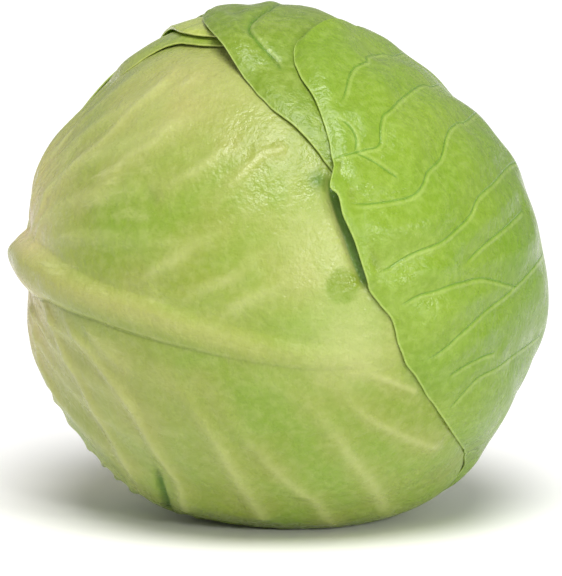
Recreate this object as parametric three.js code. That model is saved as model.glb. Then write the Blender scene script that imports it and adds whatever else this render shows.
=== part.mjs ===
// A green head cabbage, cut from its root and lying on its side, in millimetres with +Z up.
// The cut stem points to -X and the crown to +X. Every leaf is a thin blade that wraps the
// head, and each one lies over the leaves before it. Every surface is given by its distance
// from the middle of the head, so leaves can be stacked without meeting.
import * as THREE from 'three';

// Driving dimensions
const HEART_RADIUS = 84.8;
const HEAD_MIDDLE = new THREE.Vector3(0.64, -2.83, 85.2);
const BLADE = 0.9;
const GAP = 1.1;
const LAYER = BLADE + GAP;
const STUMP_RADIUS = 14;
const STUMP_TOP = 86.5;
const STUMP_NECK = 81;
const STUMP_FOOT = 68.5;
const COLLAR_DIP = 5.5;
const COLLAR_START = 8;
const COLLAR_WIDTH = 22;

// Directions are unit vectors from the middle of the head. A place is given by its angle
// from the stem and its turn about the stem: 0 faces the front, 90 is the top.
const DEG = Math.PI / 180;
const STEM = new THREE.Vector3(-1, 0.2, 0.06).normalize();
const FRONT = new THREE.Vector3(0, -1, 0).addScaledVector(STEM, STEM.y).normalize();
const TOP = new THREE.Vector3().crossVectors(STEM, FRONT);

function around(fromStem, turn) {
  return new THREE.Vector3()
    .addScaledVector(STEM, Math.cos(fromStem * DEG))
    .addScaledVector(FRONT, Math.sin(fromStem * DEG) * Math.cos(turn * DEG))
    .addScaledVector(TOP, Math.sin(fromStem * DEG) * Math.sin(turn * DEG));
}

// A place on the front as an eye 10 degrees above the level sees it, x right of the middle
// of the head and z above it.
const VIEW_RADIUS = 87.5;
const VIEW_TILT = 10 * DEG;
function seen(x, z) {
  const depth = Math.sqrt(Math.max(VIEW_RADIUS ** 2 - x * x - z * z, 0));
  return new THREE.Vector3(
    x,
    z * Math.sin(VIEW_TILT) - depth * Math.cos(VIEW_TILT),
    z * Math.cos(VIEW_TILT) + depth * Math.sin(VIEW_TILT),
  ).normalize();
}

function smooth(x) {
  const t = Math.min(Math.max(x, 0), 1);
  return t * t * (3 - 2 * t);
}

function angleBetween(a, b) {
  return Math.acos(Math.min(Math.max(a.dot(b), -1), 1)) / DEG;
}

// Swells and hollows of the whole head: where, how high in millimetres and how wide in degrees
const SWELLS = [
  [seen(62, 62), -7.5, 34],
  [seen(76, 44), 3, 14],
  [seen(0, 89), -2.8, 24],
  [seen(-62, 61), -2.2, 14],
  [seen(-84, 28), 4.2, 12],
  [seen(-78, -40), -0.8, 26],
  [seen(-44, -77), 2.5, 14],
  [seen(45, -78), 4, 32],
  [seen(50, -72), 1.5, 12],
  [seen(90, -12), 2, 30],
  [seen(85, -23), 1.5, 12],
  [seen(66, -56), -1.6, 10],
  [new THREE.Vector3(0, 0, -1), -2, 26],
];

// The leaves from the inside out. Margin points run round the leaf from its base, over the
// side that faces clockwise, past its tip and back.
const at = around;
const LEAVES = [
  {
    name: 'leaf_under',
    color: '#8fb653',
    base: at(12, -80),
    middle: at(78, -104),
    rib: { rise: 3, fade: 30, width: 5.5 },
    veins: { rise: 0.6, spacing: 18, lean: 0.7 },
    wave: { rise: 0.6, count: 11 },
    margin: [
      at(11.5, -96), at(15, -130), at(32, -158), at(60, -162), at(88, -158), at(112, -150),
      at(130, -130), at(132, -104), at(116, -82), at(92, -70), at(65, -64), at(40, -58),
      at(18, -45), at(11.5, -66),
    ],
  },
  {
    name: 'leaf_front',
    color: '#a8c85a',
    base: at(12, -4),
    middle: seen(-16, -26),
    rib: { rise: 9.5, fade: 24, width: 9.5 },
    sway: [[0, 0.8], [26, 4], [59, 4.2], [96, -2.1], [117, -2]],
    veins: { rise: 0.7, spacing: 19, lean: 0.8 },
    wave: { rise: 0.7, count: 13 },
    margin: [
      at(11.5, -22), at(14, -50), at(25, -72), at(36, -82), at(50, -85), at(64, -84),
      at(74, -86), at(84, -97), at(94, -110), at(106, -116), at(118, -112), at(128, -96),
      seen(67, -53), seen(62, -40), seen(54, -26), seen(47, -12), seen(43, 2), seen(39, 18),
      seen(34, 35), seen(27, 52), seen(18, 68), seen(6, 81), at(84, 108), at(66, 112),
      at(48, 111), at(32, 104), at(20, 82), at(14, 45), at(11.5, 12),
    ],
  },
  {
    name: 'leaf_fold',
    color: '#b4cf6c',
    base: at(12, 100),
    middle: at(70, 138),
    rib: { rise: 3.5, fade: 30, width: 5.5 },
    veins: { rise: 0.6, spacing: 18, lean: 0.7 },
    wave: { rise: 0.8, count: 12 },
    margin: [
      at(11.5, 92), at(15, 92), at(22, 96), at(32, 99), at(40, 97), seen(-54, 67),
      seen(-45, 72), seen(-36, 75), seen(-25, 74), seen(-14, 75),
      seen(-3, 81), at(94, 118), at(100, 146), at(90, 172), at(70, 184), at(45, 184),
      at(24, 168), at(14, 136), at(11.5, 114),
    ],
  },
  {
    name: 'leaf_shoulder',
    color: '#9dc055',
    base: at(12, 222),
    middle: at(72, 176),
    rib: { rise: 5, fade: 34, width: 6.5 },
    veins: { rise: 0.7, spacing: 18, lean: 0.7 },
    wave: { rise: 0.8, count: 13 },
    margin: [
      at(11.5, 206), at(15, 180), at(24, 152), at(38, 128), at(52, 114), seen(-37.5, 80),
      seen(-33, 77.5), seen(-23, 75.5), seen(-10, 77), seen(6, 82), at(112, 114),
      at(130, 148), at(130, 196), at(110, 226), at(82, 240), at(52, 247), at(28, 248),
      at(15, 246), at(11.5, 236),
    ],
  },
  {
    name: 'leaf_upper',
    color: '#9cc552',
    base: at(12, 180),
    middle: at(92, 152),
    rib: { rise: 5, fade: 34, width: 6.5 },
    veins: { rise: 0.7, spacing: 18, lean: 0.7 },
    wave: { rise: 0.8, count: 14 },
    margin: [
      at(11.5, 165), at(15, 148), at(28, 130), at(46, 118), at(62, 110), seen(-24.5, 85.5),
      seen(-25, 80.5), seen(-22, 75), seen(-11, 61.5), seen(-3, 52.5), seen(5, 46),
      seen(13, 37), seen(20, 28), seen(30, 22), seen(44, 22), seen(60, 24), seen(76, 22),
      at(160, 60), at(164, 200), at(142, 222), at(110, 220), at(78, 216), at(48, 215),
      at(28, 212), at(16, 204), at(11.5, 194),
    ],
  },
  {
    name: 'leaf_crown',
    color: '#8fc04a',
    base: at(12, 150),
    middle: at(116, 140),
    rib: { rise: 6, fade: 36, width: 7 },
    veins: { rise: 0.8, spacing: 17, lean: 0.5 },
    wave: { rise: 0.6, count: 17 },
    margin: [
      at(11.5, 136), at(15, 128), at(34, 122), at(60, 117), at(84, 122), at(99, 110), seen(27, 82),
      seen(14, 78.5), seen(6, 73), seen(4.8, 67.7), seen(6.5, 62), seen(11.6, 53.4),
      seen(15.6, 41.5), seen(17.7, 30.3), seen(20.4, 17.7), seen(25.5, 3.1),
      seen(29.6, -8.2), seen(36.7, -17.3), seen(40.1, -28.9), seen(45.6, -37.7),
      seen(50.3, -44.9), seen(56.4, -54.1), seen(61, -64), at(132, -96), at(140, -134),
      at(138, 188), at(116, 176), at(84, 172), at(52, 170), at(28, 168), at(16, 162),
      at(11.5, 152),
    ],
  },
];

// Each leaf is laid out flat about its middle: the angle from the middle is kept as a
// distance, and a bearing of 0 points away from the base. Its midrib is the great circle from
// the base through the middle.
const RIM_POINTS = 180;
for (const leaf of LEAVES) {
  leaf.ahead = leaf.base.clone().negate();
  leaf.ahead.addScaledVector(leaf.middle, -leaf.ahead.dot(leaf.middle)).normalize();
  leaf.across = new THREE.Vector3().crossVectors(leaf.middle, leaf.ahead);
  leaf.ribSide = new THREE.Vector3().crossVectors(leaf.base, leaf.middle).normalize();
  leaf.ribAhead = new THREE.Vector3().crossVectors(leaf.ribSide, leaf.base);
  leaf.edge = leaf.margin.map((place) => flatPlace(leaf, place)).sort((a, b) => a.bearing - b.bearing);
  leaf.rim = evenBearings(leaf, RIM_POINTS).map((bearing) =>
    directionAt(leaf, bearing, marginReach(leaf, bearing)));
}

function flatPlace(leaf, direction) {
  const reach = angleBetween(leaf.middle, direction);
  const bearing = Math.atan2(direction.dot(leaf.across), direction.dot(leaf.ahead)) / DEG;
  return { bearing, reach };
}

function directionAt(leaf, bearing, reach) {
  return new THREE.Vector3()
    .addScaledVector(leaf.middle, Math.cos(reach * DEG))
    .addScaledVector(leaf.ahead, Math.sin(reach * DEG) * Math.cos(bearing * DEG))
    .addScaledVector(leaf.across, Math.sin(reach * DEG) * Math.sin(bearing * DEG));
}

// How far the margin lies from the middle at a bearing: a smooth closed curve through the
// margin points, with slopes taken from the neighbours on both sides.
function marginReach(leaf, bearing) {
  const edge = leaf.edge;
  const n = edge.length;
  let i = edge.findIndex((point) => point.bearing > bearing);
  if (i < 0) i = 0;
  const point = (k) => edge[(k + n) % n];
  const turnTo = (a, b) => (((b - a) % 360) + 360) % 360;
  const [p0, p1, p2, p3] = [point(i - 2), point(i - 1), point(i), point(i + 1)];
  const span = turnTo(p1.bearing, p2.bearing);
  const t = turnTo(p1.bearing, bearing) / span;
  const m1 = ((p2.reach - p0.reach) / turnTo(p0.bearing, p2.bearing)) * span;
  const m2 = ((p3.reach - p1.reach) / turnTo(p1.bearing, p3.bearing)) * span;
  return (
    (2 * t ** 3 - 3 * t ** 2 + 1) * p1.reach + (t ** 3 - 2 * t ** 2 + t) * m1 +
    (3 * t ** 2 - 2 * t ** 3) * p2.reach + (t ** 3 - t ** 2) * m2
  );
}

// Bearings whose margin points lie at even steps along the margin
function evenBearings(leaf, count) {
  const bearings = Array.from({ length: 721 }, (_, i) => -180 + i / 2);
  const points = bearings.map((bearing) => directionAt(leaf, bearing, marginReach(leaf, bearing)));
  const lengths = [0];
  for (let i = 1; i < points.length; i++) {
    lengths.push(lengths[i - 1] + points[i].distanceTo(points[i - 1]));
  }
  const step = lengths[lengths.length - 1] / count;
  let i = 1;
  return Array.from({ length: count }, (_, k) => {
    while (lengths[i] < k * step) i++;
    const share = (k * step - lengths[i - 1]) / (lengths[i] - lengths[i - 1]);
    return bearings[i - 1] + share * 0.5;
  });
}

// How fully a leaf covers a direction: 1 on the leaf and just past its margin, then down to
// 0, so that the leaf above drapes off the edge.
const SHOULDER = 5;
const DRAPE = 10;
function cover(leaf, direction) {
  const { bearing, reach } = flatPlace(leaf, direction);
  if (reach < marginReach(leaf, bearing)) return 1;
  const nearest = Math.max(...leaf.rim.map((place) => place.dot(direction)));
  return 1 - smooth((Math.acos(Math.min(nearest, 1)) / DEG - SHOULDER) / DRAPE);
}

// Height of a pile of leaves over the heart
function stack(direction, leaves) {
  return leaves.reduce((sum, leaf) => sum + LAYER * cover(leaf, direction), 0);
}

// The distance of the packed heart from the middle of the head
function heartForm(direction) {
  let radius = HEART_RADIUS;
  for (const [place, rise, spread] of SWELLS) {
    radius += rise * Math.exp(-((angleBetween(place, direction) / spread) ** 2));
  }
  return radius - COLLAR_DIP * (1 - smooth((angleBetween(STEM, direction) - COLLAR_START) / COLLAR_WIDTH));
}

// The head's own weight presses it flat on the floor. A surface that lies deep under the
// outermost leaf stays that much above the floor, and a little more.
const PRESS_SPREAD = 2;
function rest(direction, radius, depth) {
  if (direction.z > -0.5) return radius;
  return softMin(radius, HEAD_MIDDLE.z / -direction.z - PRESS_SPREAD * depth, 1);
}

// The smaller of two values, with the change from one to the other rounded over a band
function softMin(a, b, band) {
  const near = Math.max(band - Math.abs(a - b), 0) / band;
  return Math.min(a, b) - (near * near * band) / 4;
}

// A place on a leaf by its midrib, in degrees: how far along it from the base, and how far
// off to one side. A midrib may sway: its line is then shifted aside between given places.
function ribPlace(leaf, direction) {
  const aside = Math.asin(direction.dot(leaf.ribSide)) / DEG;
  const along = Math.atan2(direction.dot(leaf.ribAhead), direction.dot(leaf.base)) / DEG;
  return { along, aside: Math.abs(aside - swayAt(leaf.sway ?? [[0, 0]], along)) };
}

function swayAt(sway, along) {
  const next = sway.findIndex(([place]) => place > along);
  if (next < 0) return sway[sway.length - 1][1];
  if (next === 0) return sway[0][1];
  const [[a, shiftA], [b, shiftB]] = [sway[next - 1], sway[next]];
  return shiftA + ((along - a) / (b - a)) * (shiftB - shiftA);
}

// The midrib stands out of the outer face, thick at the knuckle and fading to the tip
function ribRise(leaf, { along, aside }) {
  const { rise, fade, width } = leaf.rib;
  const half = width * (0.45 + 0.55 * Math.exp(-Math.max(along, 0) / 45));
  const profile = Math.max(1 - (aside / half) ** 2, 0) ** 1.5;
  return rise * Math.exp(-Math.abs(along) / fade) * profile;
}

// Side veins: low rounded ridges of the whole blade that leave the midrib on both sides and
// lean towards the tip.
function veinRise(leaf, { along, aside }) {
  const { rise, spacing, lean } = leaf.veins;
  const ridge = 0.5 + 0.5 * Math.cos(((along - lean * aside) / spacing) * 2 * Math.PI);
  return rise * ridge * smooth(aside / 14) * smooth(along / 20);
}

// One leaf: the inner and the outer face share one polar grid of rings and spokes, and a
// strip round the margin joins them. Waves, veins and midrib fade out under other leaves and
// round the flat spot that the head rests on.
const DOWN = new THREE.Vector3(0, 0, -1);
const SPOT_REACH = 16;
const SPOT_FADE = 12;
const RIPPLE_START = 0.8;
function leafGeometry(index, rings, spokes) {
  const leaf = LEAVES[index];
  const below = LEAVES.slice(0, index);
  const above = LEAVES.slice(index + 1);
  const inner = [];
  const outer = [];
  const addPlace = (bearing, share) => {
    const reach = marginReach(leaf, bearing) * share;
    const direction = directionAt(leaf, bearing, reach);
    let free = smooth((angleBetween(direction, DOWN) - SPOT_REACH) / SPOT_FADE);
    for (const other of above) free *= 1 - cover(other, direction);
    const ripple = 0.5 + 0.5 * Math.sin(leaf.wave.count * bearing * DEG);
    const lift = free * leaf.wave.rise * ripple * smooth((share - RIPPLE_START) / (1 - RIPPLE_START));
    const place = ribPlace(leaf, direction);
    const pleat = free * veinRise(leaf, place);
    const pile = GAP + stack(direction, below);
    const depth = stack(direction, LEAVES) - pile;
    const nominal = heartForm(direction) + pile + lift + pleat;
    const low = rest(direction, nominal, depth);
    const high = rest(direction, nominal + BLADE + free * ribRise(leaf, place), depth - BLADE);
    inner.push(direction.clone().multiplyScalar(low).add(HEAD_MIDDLE));
    outer.push(direction.clone().multiplyScalar(high).add(HEAD_MIDDLE));
  };
  addPlace(0, 0);
  const bearings = evenBearings(leaf, spokes);
  for (let ring = 1; ring <= rings; ring++) {
    for (const bearing of bearings) addPlace(bearing, ring / rings);
  }
  const faces = [];
  const vertex = (ring, spoke) => (ring === 0 ? 0 : 1 + (ring - 1) * spokes + (spoke % spokes));
  for (let ring = 0; ring < rings; ring++) {
    for (let spoke = 0; spoke < spokes; spoke++) {
      const [a, b] = [vertex(ring, spoke), vertex(ring, spoke + 1)];
      const [c, d] = [vertex(ring + 1, spoke), vertex(ring + 1, spoke + 1)];
      faces.push([a, c, d]);
      if (ring > 0) faces.push([a, d, b]);
    }
  }
  const count = outer.length;
  const triangles = [];
  for (const [a, b, c] of faces) {
    triangles.push(a, b, c);
    triangles.push(count + a, count + c, count + b);
  }
  for (let spoke = 0; spoke < spokes; spoke++) {
    const [a, b] = [vertex(rings, spoke), vertex(rings, spoke + 1)];
    triangles.push(a, count + a, count + b, a, count + b, b);
  }
  return meshGeometry([...outer, ...inner], triangles);
}

function meshGeometry(points, triangles) {
  const geometry = new THREE.BufferGeometry();
  geometry.setAttribute('position', new THREE.Float32BufferAttribute(points.flatMap((p) => p.toArray()), 3));
  geometry.setIndex(triangles);
  geometry.computeVertexNormals();
  return geometry;
}

// The heart: the packed inner leaves as one solid, with the edges of the outermost three
// as low steps, and a funnel at the stem for the stump to stand in.
const INNER_LEAVES = [at(70, 40), at(80, 160), at(75, 280)];
const INNER_REACH = 68;
const STEP = 0.7;
const FUNNEL_FLOOR = STUMP_FOOT - 1;
function heartGeometry(rings, spokes) {
  const points = [];
  const addPlace = (fromStem, turn) => {
    const direction = around(fromStem, turn);
    let radius = heartForm(direction) - STEP * INNER_LEAVES.length;
    for (const place of INNER_LEAVES) {
      radius += STEP * (1 - smooth((angleBetween(place, direction) - INNER_REACH) / 4));
    }
    radius = rest(direction, radius, stack(direction, LEAVES));
    const funnel = smooth((fromStem - 9) / 9);
    radius = FUNNEL_FLOOR + (radius - FUNNEL_FLOOR) * funnel;
    points.push(direction.multiplyScalar(radius).add(HEAD_MIDDLE));
  };
  addPlace(0, 0);
  for (let ring = 1; ring < rings; ring++) {
    for (let spoke = 0; spoke < spokes; spoke++) addPlace((180 * ring) / rings, (360 * spoke) / spokes);
  }
  addPlace(180, 0);
  const vertex = (ring, spoke) => {
    if (ring === 0) return 0;
    if (ring === rings) return points.length - 1;
    return 1 + (ring - 1) * spokes + (spoke % spokes);
  };
  const triangles = [];
  for (let ring = 0; ring < rings; ring++) {
    for (let spoke = 0; spoke < spokes; spoke++) {
      const [a, b] = [vertex(ring, spoke), vertex(ring, spoke + 1)];
      const [c, d] = [vertex(ring + 1, spoke), vertex(ring + 1, spoke + 1)];
      if (ring < rings - 1) triangles.push(a, c, d);
      if (ring > 0) triangles.push(a, d, b);
    }
  }
  return meshGeometry(points, triangles);
}

// The stump: a cone that widens to the cut face, with a worn rim.
function stemGeometry() {
  const profile = [
    [0, STUMP_FOOT],
    [6.5, STUMP_FOOT],
    [STUMP_RADIUS - 0.6, STUMP_NECK],
    [STUMP_RADIUS, STUMP_TOP - 1.5],
    [STUMP_RADIUS - 1.2, STUMP_TOP],
    [0, STUMP_TOP],
  ].map(([radius, height]) => new THREE.Vector2(radius, height));
  return new THREE.LatheGeometry(profile, 32);
}

function skin(color) {
  return new THREE.MeshStandardMaterial({ color, roughness: 0.5, metalness: 0 });
}

const cabbage = new THREE.Group();
const GRID = { leaf_under: [12, 52], leaf_shoulder: [11, 52], leaf_front: [12, 60], leaf_crown: [12, 60] };
LEAVES.forEach((leaf, index) => {
  const [rings, spokes] = GRID[leaf.name] ?? [10, 48];
  const mesh = new THREE.Mesh(leafGeometry(index, rings, spokes), skin(leaf.color));
  mesh.name = leaf.name;
  cabbage.add(mesh);
});

const heart = new THREE.Mesh(heartGeometry(20, 36), skin('#cddc9a'));
heart.name = 'heart';
const stem = new THREE.Mesh(stemGeometry(), skin('#e2e0b8'));
stem.name = 'stem';
stem.quaternion.setFromUnitVectors(new THREE.Vector3(0, 1, 0), STEM);
stem.position.copy(HEAD_MIDDLE);
cabbage.add(heart, stem);

export default cabbage;
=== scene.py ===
import bpy
import numpy as np
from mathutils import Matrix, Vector


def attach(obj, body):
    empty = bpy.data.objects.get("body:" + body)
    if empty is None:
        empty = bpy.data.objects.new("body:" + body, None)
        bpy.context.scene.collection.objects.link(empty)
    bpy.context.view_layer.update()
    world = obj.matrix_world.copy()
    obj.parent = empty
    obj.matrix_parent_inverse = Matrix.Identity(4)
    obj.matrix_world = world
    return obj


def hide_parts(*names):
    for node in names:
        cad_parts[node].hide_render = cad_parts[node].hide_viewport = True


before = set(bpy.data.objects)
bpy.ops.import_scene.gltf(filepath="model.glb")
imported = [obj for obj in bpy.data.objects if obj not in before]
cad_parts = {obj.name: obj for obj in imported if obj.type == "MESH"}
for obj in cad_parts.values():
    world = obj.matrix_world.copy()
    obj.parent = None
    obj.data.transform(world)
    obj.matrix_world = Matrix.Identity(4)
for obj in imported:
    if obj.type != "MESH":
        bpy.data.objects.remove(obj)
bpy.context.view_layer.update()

# The stem
# The stump of the plant's stem, cut through with one stroke of a knife when the head is
# harvested. It is solid, pale and woody, and every leaf grows from it. It points left and
# a little away from the eye.
MM = 0.001
HEAD_MIDDLE = np.array([0.64, -2.83, 85.2])
# Half widths, and distances from the head's middle out along the stem
STUMP_RADIUS = 14
STUMP_FOOT = 68.5
STUMP_NECK = 81
STUMP_TOP = 86.5
STUMP_PROFILE = [
    (0, STUMP_FOOT),
    (6.5, STUMP_FOOT),
    (13.4, STUMP_NECK),
    (STUMP_RADIUS, STUMP_TOP - 1.5),
    (12.8, STUMP_TOP),
    (0, STUMP_TOP),
]
CUT_SINK = 0.35
VESSEL_RING = 9.3
STUMP_RINGS = 90
STUMP_SIDES = 160


def unit(v):
    """Each vector divided by its length."""
    v = np.asarray(v, float)
    return v / np.linalg.norm(v, axis=-1, keepdims=True)


def smooth(x):
    """Rises from 0 to 1 with x, level at both ends: three x squared less two x cubed."""
    t = np.clip(x, 0, 1)
    return t * t * (3 - 2 * t)


def bell(x):
    """A rounded bump, 1 at x = 0 and almost 0 past 2: exp of minus x squared."""
    return np.exp(-(x**2))


STEM = unit([-1, 0.2, 0.06])
FRONT = unit(np.array([0, -1, 0]) + STEM * STEM[1])
TOP = np.cross(STEM, FRONT)


def linear(colour):
    """An sRGB hex colour as the linear red, green, blue and alpha that shaders use."""
    value = np.array([int(colour[i : i + 2], 16) for i in (1, 3, 5)]) / 255
    value = np.where(value <= 0.04045, value / 12.92, ((value + 0.055) / 1.055) ** 2.4)
    return (*value, 1.0)


def add_node(tree, kind, inputs=()):
    """One node. Each entry names a property or an input, and gives its value or what feeds it."""
    node = tree.nodes.new(kind)
    for key, value in dict(inputs).items():
        if isinstance(value, bpy.types.NodeSocket):
            tree.links.new(value, node.inputs[key])
        elif isinstance(key, str) and hasattr(node, key):
            setattr(node, key, value)
        else:
            node.inputs[key].default_value = value
    return node


def new_material(name):
    """An empty material and its tree."""
    material = bpy.data.materials.new(name)
    material.use_nodes = True
    material.node_tree.nodes.clear()
    return material, material.node_tree


def grid_faces(rings, sides):
    """Quads between rings of points that close on themselves, wound to face outwards."""
    ring, side = np.meshgrid(np.arange(rings - 1), np.arange(sides), indexing="ij")
    here = ring * sides + side
    beside = ring * sides + (side + 1) % sides
    return np.stack([here, here + sides, beside + sides, beside], axis=-1).reshape(-1, 4)


def add_piece(name, points, rings, sides, material, marks):
    """A closed piece from rings of points in millimetres, with a point at each end to close it.

    marks are values per point that the material reads by name.
    """
    quads = grid_faces(rings, sides) + 1
    turn = np.arange(sides)
    next_turn = (turn + 1) % sides
    last = len(points) - 1
    start = np.stack([np.zeros(sides, int), 1 + turn, 1 + next_turn], axis=-1)
    end = np.stack([np.full(sides, last), last - sides + next_turn, last - sides + turn], axis=-1)
    mesh = bpy.data.meshes.new(name)
    mesh.from_pydata((points * MM).tolist(), [], quads.tolist() + start.tolist() + end.tolist())
    mesh.polygons.foreach_set("use_smooth", np.ones(len(mesh.polygons), bool))
    for mark, values in marks.items():
        layer = mesh.attributes.new(mark, "FLOAT", "POINT")
        layer.data.foreach_set("value", np.asarray(values, np.float32))
    mesh.materials.append(material)
    mesh.update()
    piece = bpy.data.objects.new(name, mesh)
    bpy.context.scene.collection.objects.link(piece)
    return piece


# Woody plant tissue, cut and left to dry: cream, with a ring of darker vessels a third of
# the way in and fibres about 1 mm wide. The dry face is matt.
stump_material, tree = new_material("cut cabbage stem")
place = add_node(tree, "ShaderNodeTexCoord").outputs["Object"]
fibres = add_node(
    tree, "ShaderNodeTexNoise", {"Scale": 900, "Detail": 4, "Roughness": 0.6, "Vector": place}
)
mottle = add_node(tree, "ShaderNodeTexNoise", {"Scale": 160, "Detail": 3, "Vector": place})
vessels = add_node(tree, "ShaderNodeAttribute", {"attribute_name": "vessels"})
skin = add_node(tree, "ShaderNodeAttribute", {"attribute_name": "skin"})
wood = linear("#ece6c2")
for share, colour in (
    (mottle.outputs[0], "#d9cf9c"),
    (vessels.outputs["Fac"], "#c3b27a"),
    (skin.outputs["Fac"], "#b9b98a"),
):
    blend = {"data_type": "RGBA", 0: share, 6: wood, 7: linear(colour)}
    wood = add_node(tree, "ShaderNodeMix", blend).outputs[2]
grain = add_node(
    tree, "ShaderNodeBump", {"Strength": 0.35, "Distance": 0.0004, "Height": fibres.outputs[0]}
)
cut_face = add_node(
    tree,
    "ShaderNodeBsdfPrincipled",
    {"Roughness": 0.7, "IOR": 1.45, "Base Color": wood, "Normal": grain.outputs[0]},
)
add_node(tree, "ShaderNodeOutputMaterial", {"Surface": cut_face.outputs[0]})

profile = np.array(STUMP_PROFILE, float)
lengths = np.concatenate([[0], np.cumsum(np.linalg.norm(np.diff(profile, axis=0), axis=1))])
stations = np.linspace(0.3, lengths[-1] - 0.3, STUMP_RINGS)
radius = np.interp(stations, lengths, profile[:, 0])[:, None]
height = np.interp(stations, lengths, profile[:, 1])[:, None]
turn = np.linspace(0, 2 * np.pi, STUMP_SIDES, endpoint=False)[None, :]
# The cut is a little wavy where the knife rocked, and its rim is slightly eight-sided
rocking = 0.25 * np.sin(2 * turn + 0.6) * (radius / STUMP_RADIUS)
rocking = rocking + 0.12 * np.sin(1.3 * radius + 2 * turn)
on_cut = smooth((height - STUMP_TOP + 0.7) / 0.6)
width = radius * (1 - 0.012 * (1 - np.cos(8 * turn)))
level = height + on_cut * (rocking - CUT_SINK)
side = np.cos(turn)[..., None] * FRONT + np.sin(turn)[..., None] * TOP
points = (width[..., None] * side + level[..., None] * STEM).reshape(-1, 3)
points = HEAD_MIDDLE + np.concatenate([[STEM * STUMP_FOOT], points, [STEM * (STUMP_TOP - 0.3)]])
vessel_mark = bell((radius - VESSEL_RING) / 0.9) * on_cut * (0.6 + 0.4 * np.sin(23 * turn))
skin_mark = np.broadcast_to(1 - on_cut, width.shape)
stem = add_piece(
    "stem_cut",
    points,
    STUMP_RINGS,
    STUMP_SIDES,
    stump_material,
    {
        "vessels": np.concatenate([[0], np.clip(vessel_mark, 0, 1).ravel(), [0]]),
        "skin": np.concatenate([[1], skin_mark.ravel(), [0]]),
    },
)
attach(stem, "root")
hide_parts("stem")

# The heart
# The inner leaves, closed tight on each other in one dense ball that gives the head
# its shape. Only the outermost edges show, as low steps. The wrapper leaves lie on it, so
# the margin of every wrapper is laid out here.
HEART_RADIUS = 84.8
BLADE = 0.9
GAP = 1.1
LAYER = BLADE + GAP
# How deep the head is drawn in round the stem, where that starts to end and over what angle
COLLAR_DIP = 5.5
COLLAR_START = 8
COLLAR_WIDTH = 22
VIEW_RADIUS = 87.5
VIEW_TILT = np.radians(10)
# How many degrees past the margin below a leaf starts to come down, and over how many it does
SHOULDER = 5
DRAPE = 10
# How many times as far apart the leaves lie where the head rests on the floor
PRESS_SPREAD = 2
RIM_POINTS = 180
HEART_RINGS = 110
HEART_SIDES = 220
INNER_REACH = 68
STEP = 0.7
FUNNEL_BOTTOM = 67.5
FUNNEL_WIDTH = 9
DOWN = np.array([0, 0, -1.0])
UNDERSIDE = -0.5


def around(from_stem, turn):
    """The direction at an angle from the stem and a turn about it, 0 at the front and 90 on top."""
    a, t = np.radians(from_stem), np.radians(turn)
    side = np.cos(t)[..., None] * FRONT + np.sin(t)[..., None] * TOP
    return np.cos(a)[..., None] * STEM + np.sin(a)[..., None] * side


def at(from_stem, turn):
    """One direction by its angle from the stem and its turn about it."""
    return around(np.float64(from_stem), np.float64(turn))


def seen(x, z):
    """The direction of a place on the front as the eye sees it, x right and z up in millimetres.

    The depth is that of a ball, and the picture plane is tilted back by 10 degrees.
    """
    depth = np.sqrt(max(VIEW_RADIUS**2 - x * x - z * z, 0))
    level = z * np.sin(VIEW_TILT) - depth * np.cos(VIEW_TILT)
    return unit([x, level, z * np.cos(VIEW_TILT) + depth * np.sin(VIEW_TILT)])


def angle_to(place, directions):
    """The angle in degrees between one direction and many."""
    return np.degrees(np.arccos(np.clip(directions @ place, -1, 1)))


SWELLS = [
    (seen(62, 62), -7.5, 34),
    (seen(76, 44), 3, 14),
    (seen(0, 89), -2.8, 24),
    (seen(-62, 61), -2.2, 14),
    (seen(-84, 28), 4.2, 12),
    (seen(-78, -40), -0.8, 26),
    (seen(-44, -77), 2.5, 14),
    (seen(45, -78), 4, 32),
    (seen(50, -72), 1.5, 12),
    (seen(90, -12), 2, 30),
    (seen(85, -23), 1.5, 12),
    (seen(66, -56), -1.6, 10),
    (DOWN, -2, 26),
]


def heart_form(directions):
    """A ball with low swells, each a rise times a bell of the angle, and a dip at the stem."""
    radius = np.full(len(directions), HEART_RADIUS)
    for place, rise, spread in SWELLS:
        radius += rise * bell(angle_to(place, directions) / spread)
    beyond_collar = smooth((angle_to(STEM, directions) - COLLAR_START) / COLLAR_WIDTH)
    return radius - COLLAR_DIP * (1 - beyond_collar)


def rest_on_floor(directions, radius, depth):
    """The smaller of the radius and the distance to the floor, rounded where they meet.

    A surface that lies deep under the outermost leaf stays that much higher. Only the
    underside is pressed.
    """
    down = np.minimum(directions[:, 2], UNDERSIDE)
    floor = HEAD_MIDDLE[2] / -down - PRESS_SPREAD * depth
    near = np.clip(1 - np.abs(radius - floor), 0, None)
    pressed = np.minimum(radius, floor) - near * near / 4
    return np.where(directions[:, 2] > UNDERSIDE, radius, pressed)


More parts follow.
